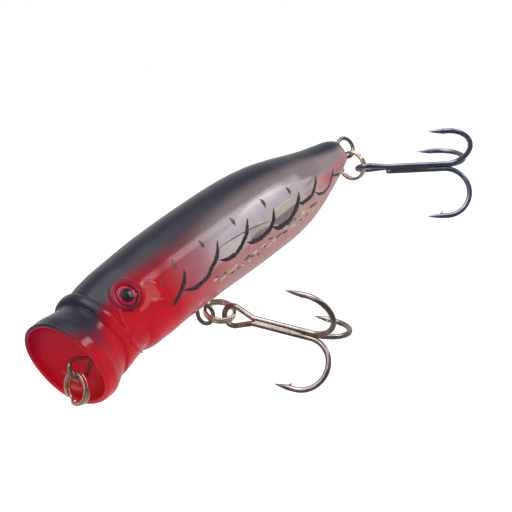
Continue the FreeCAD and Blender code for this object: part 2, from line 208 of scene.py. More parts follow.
# ---- body surface: x from the mouth, a in degrees from 90 on the back to -90 on the belly ----
BEAD = [    # angle, centre, half width and height of the collar roll behind the mouth
    (-90, 10.6, 3.6, 0.50),
    (-50, 9.9, 2.3, 0.45),
    (-20, 9.0, 1.0, 0.36),
    (5, 8.3, 1.1, 0.48),
    (27, 7.8, 1.1, 0.68),
    (50, 7.45, 1.05, 0.80),
    (90, 7.4, 1.1, 0.78),
]
GILL = [(-80, 13.8), (-50, 10.9), (-26, 9.6), (-11, 9.8), (0, 10.3), (11, 11.0), (22, 12.0)]
DIMPLE = (18.1, 5.0, 1.55, 0.26)         # station, angle, radius, depth
CHEEK_FOLD = [(-16, 20.3), (-12, 20.0), (-8, 19.3), (-5, 18.2), (-3, 17.2)]
GILL_SIZE = (0.38, 0.26)                 # a ridge's height and half width
FOLD_SIZE = (0.30, 0.22)
GROOVE_WIDTH = 0.22                      # of the grooves ahead of and behind the collar roll
GROOVE_DEPTHS = (0.16, 0.14)
CHEEK_SWELL = 0.14
CHEEK_LENGTH = 5
SEAT_DEPTH = 1.05                        # of the flat pocket each eye sits in
SEAT_EDGE = (2.2, 2.7)                   # radii between which its wall runs
EYE_SWELL = (3.3, 0.5, 0.10)             # radius, half width and height of the rise round it
DIMPLE_RIM = (0.12, 0.16, 0.07)          # distance out, half width and height
SEAM = (0.9, 0.03)                       # half width in degrees and depth


def section_point(x, a):
    columns = (hermite(STATIONS[:, 0], STATIONS[:, k], x) for k in range(1, 6))
    middle, rise, drop, half_width, lean = columns
    angle = np.radians(a)
    up = np.where(a > 0, rise, drop) * signed_power(np.sin(angle), 2 / SECTION_POWER)
    out = half_width * signed_power(np.cos(angle), 2 / SECTION_POWER)
    return np.stack([x - up * np.tan(np.radians(lean)), out, middle + up], -1)


def surface_normal(x, a):
    step_x, step_a = 0.03, 0.3
    along_x = section_point(x + step_x, a) - section_point(x - step_x, a)
    along_a = section_point(x, a + step_a) - section_point(x, a - step_a)
    normal = np.cross(along_a, along_x)
    return normal / np.linalg.norm(normal, axis=-1, keepdims=True)


def ridge(x, a, line, height, half_width):
    """A rounded ridge along a line x(a), fading out at the line's ends."""
    angles = [p[0] for p in line]
    low, high = min(angles), max(angles)
    fade = smooth(a, low, low + 6) * (1 - smooth(a, high - 6, high))
    return height * fade * np.exp(-((x - along(line, a)) / half_width) ** 2)


def relief(x, a, base):
    """How far the moulded details stand out of the plain body, in mm."""
    centre, half, height = (along([(row[0], row[k]) for row in BEAD], a) for k in (1, 2, 3))
    t = np.abs(x - centre) / half
    out = height * np.sqrt(np.clip(1 - t**2.4, 0, 1))
    ahead, behind = GROOVE_DEPTHS
    out = out - ahead * np.exp(-((x - centre + half) / GROOVE_WIDTH) ** 2)
    out = out - behind * np.exp(-((x - centre - half) / GROOVE_WIDTH) ** 2) * smooth(a, -30, 10)
    out = out + ridge(x, a, GILL, *GILL_SIZE)
    gill_x = along(GILL, a)
    cheek = smooth(x, gill_x - 0.1, gill_x + 0.5)
    cheek = cheek * (1 - smooth(x, gill_x + 0.5, gill_x + CHEEK_LENGTH))
    out = out + CHEEK_SWELL * cheek * smooth(a, -80, -50) * (1 - smooth(a, 5, 25))
    out = out + ridge(x, a, CHEEK_FOLD, *FOLD_SIZE)

    axis = unit(EYE_FACING * (1, -1, 1))
    offset = base - EYE_PLACE * (1, -1, 1)
    height_out = offset @ axis
    radius = np.linalg.norm(offset - height_out[..., None] * axis, axis=-1)
    near_eye = height_out > -4      # and not on the far flank
    swell_radius, swell_width, swell = EYE_SWELL
    out = out - np.where(near_eye, 1 - smooth(radius, *SEAT_EDGE), 0) * SEAT_DEPTH
    out = out + np.where(near_eye, np.exp(-((radius - swell_radius) / swell_width) ** 2), 0) * swell

    station, angle, dimple_radius, depth = DIMPLE
    away = np.linalg.norm(base - section_point(np.float64(station), np.float64(angle)), axis=-1)
    bowl = np.clip(1 - (away / dimple_radius) ** 2, 0, 1) ** 0.6
    rim_out, rim_width, rim_height = DIMPLE_RIM
    rim = np.exp(-((away - dimple_radius - rim_out) / rim_width) ** 2)
    out = out - depth * bowl + rim_height * rim
    seam_width, seam_depth = SEAM
    return out - seam_depth * np.exp(-((90 - np.abs(a)) / seam_width) ** 2)


def skin(x, a, lift=0.0):
    """Points of the finished outer surface of the right half."""
    x, a = np.broadcast_arrays(np.asarray(x, float), np.asarray(a, float))
    base = section_point(x, a)
    return base + surface_normal(x, a) * (relief(x, a, base) + lift)[..., None]


# ---- paint, as linear colours ----
DARK = np.array((0.022, 0.023, 0.038))
RED = np.array((0.385, 0.004, 0.011))
CRIMSON = np.array((0.15, 0.004, 0.018))
LILAC = np.array((0.36, 0.31, 0.345))
# Pearly foil lightened into a painted highlight, for the top of the flank's window.
PEARL_HIGHLIGHT = np.array((0.46, 0.41, 0.435))
GREY_BROWN = np.array((0.215, 0.170, 0.176))
GREY_WINDOW = np.array((0.33, 0.29, 0.28))
MAUVE = np.array((0.105, 0.060, 0.068))
SALMON = np.array((0.33, 0.155, 0.155))
CORAL = np.array((0.35, 0.070, 0.078))
TAN = np.array((0.33, 0.205, 0.180))
TAIL_GREY = np.array((0.25, 0.195, 0.205))
TAIL_PINK = np.array((0.33, 0.14, 0.155))
PINK_RED = np.array((0.44, 0.066, 0.066))
DUSKY_ROSE = np.array((0.25, 0.060, 0.080))
SOCKET_PLUM = np.array((0.22, 0.006, 0.026))
SOCKET_SHADE = np.array((0.030, 0.008, 0.008))
IRIS_RED = np.array((0.85, 0.004, 0.075))
# Painted shade round the iris's rim, where it sits under the socket ring.
IRIS_RIM_SHADE = np.array((0.30, 0.004, 0.040))
IRIS_GLINT = np.array((1.0, 0.035, 0.012))

BACK_EDGE = [   # station and angle of the dark back's lower edge
    (0, 34), (1.5, 25), (3.0, 17), (4.5, 15), (6.0, 21), (7.5, 28), (9, 28), (11, 31), (13, 36),
    (18, 39), (22, 33), (29, 29), (38, 32), (47, 35), (56, 35), (66, 37), (72, 27), (77, 20), (80, 24),
]
RED_END = [(-90, 24), (-50, 24), (-30, 25), (-10, 24.5), (10, 24), (30, 25), (45, 27)]
# A painted highlight behind and below the eye, as (station, angle) corners.
EYE_HIGHLIGHT = [(17.0, 8), (17.6, 5), (17.2, 1), (16.2, -3), (14.4, -5), (14.1, -1.5), (15.6, 1)]
LEAF = [    # the pearly window of the flank, as (station, angle) corners
    (33, 1), (37.5, 8), (43, 14), (48.7, 19), (55, 16), (61.5, 7.5), (65.6, 2), (62, -1), (58, -1.5),
    (52, 0), (48, 2.5), (44, -2), (40, -0.5), (36.5, 1),
]
LOWER_LEFT = [(34.8, -3), (36.6, 0), (42.1, -1.6), (43.6, -3), (40.8, -9), (38.2, -12), (35.2, -9)]
LOWER_MIDDLE = [(43.6, -3), (45.6, -1.5), (48.1, -12), (45.9, -11.5), (42.8, -10.5)]
SHADED = [
    [(43.0, -12), (45.9, -10.8), (48.6, -14), (47.2, -19), (44.8, -19), (42.6, -16)],
    [(50.2, -11.5), (54.1, -11.5), (58.0, -11), (57, -16), (54.4, -23), (51.2, -23), (49.4, -15)],
]
HOT_SPOTS = [
    [(60.4, -9), (64.2, -9), (63.4, -17), (60.8, -16)],
    [(66.6, -3), (71.5, -14), (70.0, -33), (67.3, -30), (64.6, -17)],
]
CHAIN = [   # the scallops' lowest line, below which the belly colour starts
    (20, -24), (25, -22), (29.6, -23), (33.8, -16), (38.1, -19), (42, -18), (47.2, -21), (50.8, -25),
    (54, -26), (58, -17), (62.2, -20), (66, -28), (68.5, -36), (72, -34), (76, -46),
]


FLANK_DEGREES = 7.4             # degrees that span a millimetre on the flank
FLANK_MM = 7.8 / 57.3           # millimetres that a degree spans at the widest section

# Where colours fade into each other, as (from, to) in mm from the mouth or, if marked, degrees.
SALMON_STARTS = (28, 38)
TAN_STARTS = (44, 58)
KEEL = (36, 50)                 # degrees below the widest line
GREY_STARTS = (44, 60)
PINK_ENDS = (30, 36)
LEAF_SHEEN = (2, 14)            # degrees
REAR_STARTS = (60.5, 63)
REAR_HEIGHT = (-8, 2)           # degrees
TAIL_STARTS = (66, 71)
TAIL_BELLY_STARTS = (66, 74)
TAIL_HEIGHT = (-20, 2)          # degrees
ROSE_REACH = (2, 14)            # beyond the red's end
ROSE_HEIGHT = (-32, -20)        # degrees
RED_FADE = (-4, 5.0)            # about the red's end


def curve_through(points, steps):
    """Evenly stepped points of a smooth curve through (station, angle) pairs."""
    points = np.array(points, float)
    strides = np.linalg.norm(np.diff(points, axis=0) * (1, FLANK_MM), axis=1)
    length = np.concatenate([[0], np.cumsum(strides)])
    at = np.linspace(0, length[-1], steps)
    return np.stack([hermite(length, points[:, k], at) for k in (0, 1)], 1)


def inside(x, a, outline, soft):
    """1 inside an outline of (station, angle) corners, fading over soft degrees across its edge."""
    outline = np.array(outline, float)
    px, pa = x * FLANK_DEGREES, a
    nearest = np.full(np.shape(x), 1e9)
    odd = np.zeros(np.shape(x), bool)
    for (x0, a0), (x1, a1) in zip(outline, np.roll(outline, -1, 0)):
        x0, x1 = x0 * FLANK_DEGREES, x1 * FLANK_DEGREES
        run, rise = x1 - x0, a1 - a0
        t = np.clip(((px - x0) * run + (pa - a0) * rise) / (run * run + rise * rise), 0, 1)
        nearest = np.minimum(nearest, np.hypot(px - x0 - t * run, pa - a0 - t * rise))
        crosses = (a0 > pa) != (a1 > pa)
        at = x0 + (pa - a0) / np.where(a1 == a0, 1e-9, a1 - a0) * run
        odd ^= crosses & (px < at)
    return smooth(np.where(odd, nearest, -nearest), -soft / 2, soft / 2)


def paint(x, a):
    """The airbrushed colour of the outside at each point, with painted highlights on the flank's window
    and behind the eye.
    """
    chain = along(CHAIN, x)
    belly = mix(CORAL, SALMON, smooth(x, *SALMON_STARTS))
    belly = mix(belly, TAN, smooth(x, *TAN_STARTS) * (1 - smooth(-a, *KEEL)))
    flank = mix(LILAC, GREY_WINDOW, 0.6 * smooth(x, *GREY_STARTS))
    flank = mix(flank, PINK_RED, 0.35 * (1 - smooth(x, *PINK_ENDS)))
    colour = mix(belly, flank, smooth(a, chain - 2, chain + 5))
    colour = mix(colour, GREY_BROWN, smooth(a, 6 + 6 * smooth(x, 36, 48), 24))
    leaf = inside(x, a, curve_through(LEAF + LEAF[:1], 49)[:-1], 4.0)
    # The window's foil lightens upward into a painted highlight along its top edge.
    colour = mix(colour, mix(LILAC, PEARL_HIGHLIGHT, smooth(a, *LEAF_SHEEN)), leaf)
    rear = smooth(x, *REAR_STARTS) * (1 - leaf) * smooth(a, *REAR_HEIGHT)
    colour = mix(colour, GREY_BROWN * 0.9, rear)
    for outline, level in ((LOWER_LEFT, 1.15), (LOWER_MIDDLE, 0.9)):
        colour = mix(colour, GREY_WINDOW * level, inside(x, a, outline, 2.5))
    for outline in SHADED:
        colour = mix(colour, MAUVE, 0.75 * inside(x, a, outline, 4.0))
    above = smooth(a, chain - 3, chain + 3)
    tail_flank = mix(TAIL_PINK, TAIL_GREY, smooth(a, *TAIL_HEIGHT))
    colour = mix(colour, tail_flank, smooth(x, *TAIL_STARTS) * above)
    tail_belly = 0.6 * smooth(x, *TAIL_BELLY_STARTS) * (1 - above)
    colour = mix(colour, mix(SALMON, TAIL_GREY, 0.3), tail_belly)
    for outline in HOT_SPOTS:
        colour = mix(colour, PINK_RED, 0.45 * inside(x, a, outline, 6.0))
    red_end = along(RED_END, a)
    rose = (1 - smooth(x - red_end, *ROSE_REACH)) * smooth(a, *ROSE_HEIGHT)
    colour = mix(colour, DUSKY_ROSE, 0.85 * rose)
    red = 1 - smooth(x - red_end, *RED_FADE)
    colour = mix(colour, RED, red)
    dimple_x, dimple_a, dimple_radius = DIMPLE[:3]
    spot = np.hypot(x - dimple_x, (a - dimple_a) / FLANK_DEGREES)
    colour = mix(colour, PINK_RED, 0.7 * (1 - smooth(spot, dimple_radius - 0.5, dimple_radius + 0.1)))
    # The pink painted highlight behind the eye.
    colour = mix(colour, PINK_RED, 0.75 * inside(x, a, EYE_HIGHLIGHT, 3.0))
    back_edge = along(BACK_EDGE, x)
    soft = 6 + 8 * smooth(x, 12, 26) + 8 * (1 - smooth(x, 4.5, 7))
    crimson = smooth(a, back_edge - soft - 18, back_edge - 2) * np.maximum(red, 0.6 * rose)
    colour = mix(colour, CRIMSON, 0.85 * crimson)
    return mix(colour, DARK, smooth(a, back_edge - soft, back_edge + soft))


def cup_paint_and_shade(share, a):
    """The cup's red, lightened as a painted glow, with painted shade up by the lip and a painted
    reflection low down; share runs from 0 at the lip to 1 at the middle.
    """
    # Painted shade, strongest high in the cup by the lip, over the body's red lightened as a painted
    # glow.
    shade = smooth(a, -20, 60) * (1 - 0.7 * share)
    colour = mix(RED * 1.3, CRIMSON * 1.3, 0.85 * shade)
    # Painted reflection low in the cup.
    return mix(colour, RED * 1.4 + 0.012, 0.6 * smooth(-a, 0, 80))


# ---- mesh helpers ----
def linked(name, data):
    thing = bpy.data.objects.new(name, data)
    bpy.context.scene.collection.objects.link(thing)
    return thing


def new_piece(name, vertices, faces, body, slot, material, colours=None):
    mesh = bpy.data.meshes.new(name)
    mesh.from_pydata(to_frame(vertices).tolist(), [], faces)
    mesh.validate()
    if colours is not None:
        attribute = mesh.color_attributes.new("paint", "FLOAT_COLOR", "POINT")
        rgba = np.concatenate([colours, np.ones((len(colours), 1))], 1)
        attribute.data.foreach_set("color", rgba.astype(np.float32).ravel())
    mesh.shade_smooth()
    piece = linked(name, mesh)
    piece.data.materials.append(material)
    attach(piece, body)
    return piece


def face_outward(piece):
    """Makes every face of a closed mesh look outward."""
    work = bmesh.new()
    work.from_mesh(piece.data)
    bmesh.ops.recalc_face_normals(work, faces=work.faces)
    work.to_mesh(piece.data)
    work.free()


def closed_piece(*parts):
    piece = new_piece(*parts)
    face_outward(piece)
    return piece


def grid_faces(rows, columns, start=0):
    """Quads of a grid whose vertices run row by row."""
    faces = []
    for i in range(rows - 1):
        low, high = start + i * columns, start + (i + 1) * columns
        faces += [(low + j, low + j + 1, high + j + 1, high + j) for j in range(columns - 1)]
    return faces


def band_faces(rings, count, closed=False):
    """Quads between rings of count vertices; closed also joins the last ring to the first."""
    faces = []
    for i in range(rings if closed else rings - 1):
        low, high = i * count, (i + 1) % rings * count
        for j in range(count):
            k = (j + 1) % count
            faces.append((low + j, low + k, high + k, high + j))
    return faces


def ring_face(ring, count):
    """One face across a ring of count vertices, such as the end of a wire."""
    return tuple(range(ring * count, (ring + 1) * count))


def frames_along(points, closed):
    """Directions across a path that turn with it and never twist."""
    if closed:
        ahead = np.roll(points, -1, 0) - np.roll(points, 1, 0)
    else:
        ahead = np.gradient(points, axis=0)
    ahead /= np.linalg.norm(ahead, axis=1, keepdims=True)
    side = unit(np.cross(ahead[0], (0.31, 0.17, 0.93)))
    sides = []
    for direction in ahead:
        side = unit(side - direction * (side @ direction))
        sides.append(side)
    sides = np.array(sides)
    return sides, np.cross(ahead, sides)


def tube(points, radii, segments=24, closed=False, across=None):
    """Vertices and faces of a round wire; across gives fixed section axes for a flat wire."""
    points = np.asarray(points, float)
    radii = np.broadcast_to(np.asarray(radii, float), (len(points),))
    sides, ups = frames_along(points, closed)
    angle = np.linspace(0, 2 * math.pi, segments, endpoint=False)
    cos, sin = np.cos(angle), np.sin(angle)
    if across is not None:
        sides, ups = across
        cos, sin = signed_power(cos, 0.55), signed_power(sin, 0.55)
    rings = points[:, None] + radii[:, None, None] * (
        cos[None, :, None] * sides[:, None] + sin[None, :, None] * ups[:, None])
    vertices = rings.reshape(-1, 3)
    count = len(points)
    faces = band_faces(count, segments, closed)
    if not closed:
        faces += [ring_face(0, segments)[::-1], ring_face(count - 1, segments)]
    return vertices, faces


def joined(parts):
    vertices, faces, start = [], [], 0
    for points, polygons in parts:
        vertices.append(points)
        faces += [tuple(start + k for k in polygon) for polygon in polygons]
        start += len(points)
    return np.concatenate(vertices), faces


def arc(centre, start, end, steps):
    """Points from start round to end about centre, by the shorter way."""
    centre, start, end = (np.asarray(p, float) for p in (centre, start, end))
    first, last = start - centre, end - centre
    turn = math.acos(np.clip(unit(first) @ unit(last), -1, 1))
    t = np.linspace(0, 1, steps)[:, None]
    return centre + (np.sin((1 - t) * turn) * first + np.sin(t * turn) * last) / math.sin(turn)


def lathe(profile, place, facing, segments=96):
    """Turns (radius, height) pairs about an axis; a first or last radius of 0 closes the end."""
    facing = unit(facing)
    side = unit(np.cross(facing, (0.2, 0.1, 0.97)))
    up = np.cross(facing, side)
    angle = np.linspace(0, 2 * math.pi, segments, endpoint=False)
    around = np.cos(angle)[:, None] * side + np.sin(angle)[:, None] * up
    vertices, faces, rows = [], [], []
    for radius, height in profile:
        at = np.asarray(place) + facing * height
        rows.append((len(vertices), 1 if radius == 0 else segments))
        vertices += [at] if radius == 0 else list(at + radius * around)
    for (low, few), (high, many) in zip(rows, rows[1:]):
        for j in range(segments):
            k = (j + 1) % segments
            if few == 1:
                faces.append((low, high + k, high + j))
            elif many == 1:
                faces.append((low + j, low + k, high))
            else:
                faces.append((low + j, low + k, high + k, high + j))
    return np.array(vertices), faces


# ---- shader helpers ----
class Tree:
    """A node tree, with short calls for the nodes used here."""

    def __init__(self, tree):
        self.tree = tree

    def link(self, output, target):
        self.tree.links.new(output, target)

    def feed(self, socket, value):
        """Links an output to a socket, or sets the socket to a plain value."""
        if hasattr(value, "links"):
            self.link(value, socket)
        else:
            socket.default_value = value

    def node(self, kind, **inputs):
        node = self.tree.nodes.new(kind)
        for name, value in inputs.items():
            self.feed(node.inputs[name.replace("_", " ")], value)
        return node

    def blend(self, fac, a, b, mode="MIX"):
        node = self.tree.nodes.new("ShaderNodeMix")
        node.data_type = "RGBA"
        node.blend_type = mode
        for index, value in ((0, fac), (6, a), (7, b)):
            self.feed(node.inputs[index], value)
        return node.outputs[2]


class Nodes(Tree):
    """A material's node tree."""

    def __init__(self, name):
        self.material = bpy.data.materials.new(name)
        self.material.use_nodes = True
        super().__init__(self.material.node_tree)
        self.shader = self.tree.nodes["Principled BSDF"]

    def set(self, **values):
        for name, value in values.items():
            self.shader.inputs[name.replace("_", " ")].default_value = value

    def place(self):
        return self.node("ShaderNodeTexCoord").outputs["Object"]

    def noise(self, scale, detail=3.0, roughness=0.5):
        node = self.node("ShaderNodeTexNoise", Vector=self.place(), Scale=scale, Detail=detail,
                         Roughness=roughness)
        return node.outputs["Fac"]

    def flakes(self, scale):
        node = self.node("ShaderNodeTexVoronoi", Vector=self.place(), Scale=scale)
        return node.outputs["Color"]

    def remap(self, value, low, high, from_low=0.0, from_high=1.0):
        node = self.node("ShaderNodeMapRange", Value=value, From_Min=from_low, From_Max=from_high,
                         To_Min=low, To_Max=high)
        return node.outputs["Result"]

    def painted(self):
        """The piece's own painted colour."""
        node = self.tree.nodes.new("ShaderNodeAttribute")
        node.attribute_name = "paint"
        return node.outputs["Color"]

    def surface(self, colour, roughness):
        self.link(colour, self.shader.inputs["Base Color"])
        self.link(roughness, self.shader.inputs["Roughness"])

    def bump(self, height, strength, distance):
        node = self.node("ShaderNodeBump", Height=height, Strength=strength, Distance=distance)
        self.link(node.outputs["Normal"], self.shader.inputs["Normal"])


def rgba(colour):
    return (*colour, 1.0)


def shell_material():
    """Clear plastic with airbrushed paint and a thick gloss coat over it."""
    m = Nodes("painted_shell")
    grain = m.remap(m.noise(2600.0, 4.0, 0.7), 0.86, 1.14, 0.3, 0.7)
    cloud = m.remap(m.noise(260.0, 3.0), 0.9, 1.1, 0.3, 0.7)
    tone = m.node("ShaderNodeCombineColor", Red=grain, Green=grain, Blue=grain).outputs[0]
    soft = m.node("ShaderNodeCombineColor", Red=cloud, Green=cloud, Blue=cloud).outputs[0]
    colour = m.blend(0.6, m.painted(), tone, "MULTIPLY")
    colour = m.blend(0.8, colour, soft, "MULTIPLY")
    m.surface(colour, m.remap(m.noise(900.0), 0.22, 0.36, 0.3, 0.7))
    m.bump(m.noise(700.0, 2.0), 0.06, 0.0002)
    m.set(Coat_Weight=0.9, Coat_Roughness=0.13, Coat_IOR=1.36, IOR=1.46, Specular_IOR_Level=0.05)
    return m.material


def brushed_material(name, scale, dark, light, relief_strength=0.0):
    """Brushed-on paint, streaked in colour and gloss."""
    m = Nodes(name)
    streak = m.noise(scale, 4.0, 0.65)
    colour = m.blend(m.remap(streak, 0.0, 1.0, 0.35, 0.7), rgba(dark), rgba(light))
    m.surface(colour, m.remap(streak, 0.25, 0.45))
    if relief_strength:
        m.bump(streak, relief_strength, 0.0001)
    m.set(Coat_Weight=0.6, Coat_Roughness=0.08)
    return m.material


def plain_material(name, cloud, dark, light, gloss_scale, gloss, **settings):
    """Two close colours clouded together, with an uneven polish."""
    m = Nodes(name)
    colour = m.blend(m.noise(*cloud), rgba(dark), rgba(light))
    m.surface(colour, m.remap(m.noise(gloss_scale), *gloss))
    m.set(**settings)
    return m.material


def dash_material():
    return plain_material("silver_dashes", (1500.0, 2.0), (0.28, 0.29, 0.23), (0.58, 0.57, 0.50),
                          2500.0, (0.2, 0.4), Metallic=0.2, Coat_Weight=0.6, Coat_Roughness=0.06)


def window_material():
    return plain_material("clear_windows", (420.0,), (0.31, 0.285, 0.235), (0.40, 0.37, 0.31),
                          1200.0, (0.08, 0.2), Coat_Weight=0.9, Coat_Roughness=0.04)


def pupil_material():
    return plain_material("pupil_print", (1600.0,), (0.004, 0.004, 0.005), (0.016, 0.014, 0.016),
                          2400.0, (0.4, 0.55), Specular_IOR_Level=0.2)


def resin_material():
    return plain_material("clear_resin", (900.0,), (1.0, 0.90, 0.90), (1.0, 0.96, 0.96),
                          1400.0, (0.0, 0.02), Transmission_Weight=1.0, IOR=1.25)


def plate_material():
    return plain_material("silver_foil", (300.0,), (0.62, 0.60, 0.72), (0.78, 0.76, 0.84),
                          900.0, (0.08, 0.22), Metallic=0.9)


def metal_material(name, dark, light, roughness, scale, metallic=1.0):
    """Plated wire: fine drawing marks, faint clouding and uneven polish."""
    m = Nodes(name)
    cloud = m.noise(scale, 4.0, 0.6)
    fine = m.noise(scale * 9, 3.0, 0.7)
    colour = m.blend(m.remap(cloud, 0.0, 1.0, 0.35, 0.65), rgba(dark), rgba(light))
    m.surface(colour, m.remap(fine, roughness * 0.7, roughness * 1.5, 0.3, 0.7))
    m.bump(fine, 0.08, 0.00005)
    m.set(Metallic=metallic)
    return m.material


def foil_material():
    m = Nodes("red_eye_foil")
    colour = m.blend(0.5, m.painted(), m.flakes(6500.0), "MULTIPLY")
    m.surface(colour, m.remap(m.noise(3000.0), 0.3, 0.5))
    m.set(Specular_IOR_Level=0.1)
    return m.material


# ---- body shells ----
ROWS = 201
HEAD_STEP = 0.11
HEAD_END = 23.0
BODY_STEP = 0.22
CUP_STEPS = 34
LIP_STEPS = 13
LIP_FADE = (0.35, 0.75)         # share of the way round the lip
TAIL_STEPS = 7
TAIL_MIDDLE = 0.3               # height of the tail face's middle
CAVITY_ROWS = 61
CAVITY_STATIONS = (8.2, 78.2, 80)
CAVITY_FRONT = (7.4, 0, -0.8)
CAVITY_BACK = (78.5, 0, 0.2)


def mouth_rows(a):
    """Rows of points and colours from the middle of the cup out and over the lip."""
    outward = section_point(np.zeros(ROWS), a) - RIM_CENTRE
    reach = np.linalg.norm(outward, axis=1, keepdims=True)
    outward = outward / reach
    inward = np.array((math.cos(RIM_LEAN), 0, math.sin(RIM_LEAN)))
    rows = []
    for k in range(CUP_STEPS):
        share = 1 - k / CUP_STEPS
        turn = (1 - share) * math.pi / 2
        radius = (reach - 2 * LIP) * math.sin(turn)
        depth = LIP + CUP_DEPTH * math.cos(turn)
        colour = cup_paint_and_shade(np.full(ROWS, share), a)
        rows.append((RIM_CENTRE + outward * radius + inward * depth, colour))
    inner, outer = cup_paint_and_shade(np.zeros(ROWS), a), paint(np.full(ROWS, 0.2), a)
    for k in range(LIP_STEPS):
        turn = math.pi - k / LIP_STEPS * math.pi
        radius = reach - LIP + LIP * math.cos(turn)
        depth = LIP - LIP * math.sin(turn)
        turned = np.full(ROWS, smooth(k / (LIP_STEPS - 1), *LIP_FADE))
        rows.append((RIM_CENTRE + outward * radius + inward * depth, mix(inner, outer, turned)))
    return rows


def flank_rows(a):
    """Rows along the outside, closer together over the head."""
    stations = np.concatenate([
        np.arange(LIP, HEAD_END, HEAD_STEP),
        np.arange(HEAD_END, BODY_LENGTH - TAIL_ROUND, BODY_STEP),
    ])
    return [(skin(x, a), paint(np.full(ROWS, x), a)) for x in stations]


def tail_rows(a):
    """Rows round the tail's edge and in to the middle of its flat face."""
    middle = np.array((BODY_LENGTH - TAIL_ROUND, 0, TAIL_MIDDLE))
    spread = section_point(np.full(ROWS, BODY_LENGTH - TAIL_ROUND), a) - middle
    size = np.linalg.norm(spread, axis=1, keepdims=True)
    points = []
    for turn in np.linspace(0, math.pi / 2, TAIL_STEPS):
        shrink = 1 - TAIL_ROUND * (1 - math.cos(turn)) / size
        points.append(middle + spread * shrink + (TAIL_ROUND * math.sin(turn), 0, 0))
    face = points[-1]
    centre = middle + (TAIL_ROUND, 0, 0)
    points += [centre + (face - centre) * share for share in (0.75, 0.5, 0.25, 0.0)]
    colour = paint(np.full(ROWS, BODY_LENGTH), a)
    return [(row, colour) for row in points]


def on_seam(grid):
    """Puts a grid's first and last rows exactly on the split plane."""
    grid[0, :, 1] = 0
    grid[-1, :, 1] = 0
    return grid


def shell_grid():
    """Rows of points and colours from the middle of the cup to the middle of the tail face."""
    a = np.linspace(90, -90, ROWS)
    points, colours = zip(*mouth_rows(a), *flank_rows(a), *tail_rows(a))
    return on_seam(np.stack(points, 1)), np.stack(colours, 1)


def cavity_grid():
    """The hollow inside: the plain body inset by the wall, closed at both ends."""
    a = np.linspace(90, -90, CAVITY_ROWS)
    front, back = np.array(CAVITY_FRONT), np.array(CAVITY_BACK)
    inset = []
    for x in np.linspace(*CAVITY_STATIONS):
        x = np.full(CAVITY_ROWS, x)
        inset.append(section_point(x, a) - surface_normal(x, a) * WALL)
    shares = (0.0, 0.4, 0.8)
    closing_front = [front + (inset[0] - front) * share for share in shares]
    closing_back = [back + (inset[-1] - back) * share for share in shares[::-1]]
    return on_seam(np.stack(closing_front + inset + closing_back, 1))


def half_shell(name, side, material):
    grid, colours = shell_grid()
    hollow = cavity_grid()
    outer = grid.reshape(-1, 3) * (1, side, 1)
    inner = hollow.reshape(-1, 3) * (1, side, 1)
    faces = grid_faces(*grid.shape[:2])
    faces += grid_faces(*hollow.shape[:2], start=len(outer))
    inner_colours = np.tile(RED * 0.4 + DARK, (len(inner), 1))
    piece = new_piece(name, np.concatenate([outer, inner]), faces, "body", "painted_clear_shell",
                      material, np.concatenate([colours.reshape(-1, 3), inner_colours]))
    work = bmesh.new()
    work.from_mesh(piece.data)
    bmesh.ops.remove_doubles(work, verts=work.verts, dist=2e-6)
    rim = [edge for edge in work.edges if edge.is_boundary]
    bmesh.ops.triangle_fill(work, use_beauty=True, use_dissolve=False, edges=rim)
    bmesh.ops.recalc_face_normals(work, faces=work.faces)
    work.to_mesh(piece.data)
    work.free()
    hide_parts(name.replace("shell", "body_shell"))


# ---- markings ----
FIRST_STROKE = [(20.6, -23), (23, -15), (24.9, -6), (26.4, 5)]
SCALLOPS = [    # each brush stroke runs under one scale and up into a tick
    [(24.0, -14), (26.9, -22), (29.6, -21), (31.6, -14), (33.8, -6), (36.1, 7.5)],
    [(34.0, -10), (36.2, -17), (38.1, -17.5), (40.5, -12), (42.6, -4), (44.7, 7.5)],
    [(41.6, -13), (43.0, -18), (45.4, -20.5), (47.4, -19.5), (49.4, -14), (51.4, 0.5)],
    [(48.7, -16), (50.8, -25), (53.4, -26), (56.6, -18), (58.3, -10), (59.5, -2)],
    [(57.6, -12), (59.5, -18), (62.2, -18.5), (64.0, -14), (65.6, -6), (66.6, 0)],
    [(63.8, -17), (65.2, -27), (67.4, -33.5), (69.2, -34.5), (71.2, -26), (73.1, -12)],
    [(72.0, -24), (73.4, -33), (75.2, -47)],
]
BELLIED = (0.95, 0.92, 1.0, 1.15, 0.85, 0.70, 0.60)    # widest width of each
LEAVES = [(25.2, 20, 9), (32.6, 19, 9), (41.4, 19.5, 8.5), (49.9, 17, 5), (57.1, 11, 0.5)]
DASH_LINE = [(31, -31), (37.6, -38.5), (44.4, -36.5), (52.7, -32.5), (62.7, -37)]
PAINT_LIFT = 0.03
PAINT_SINK = 0.05


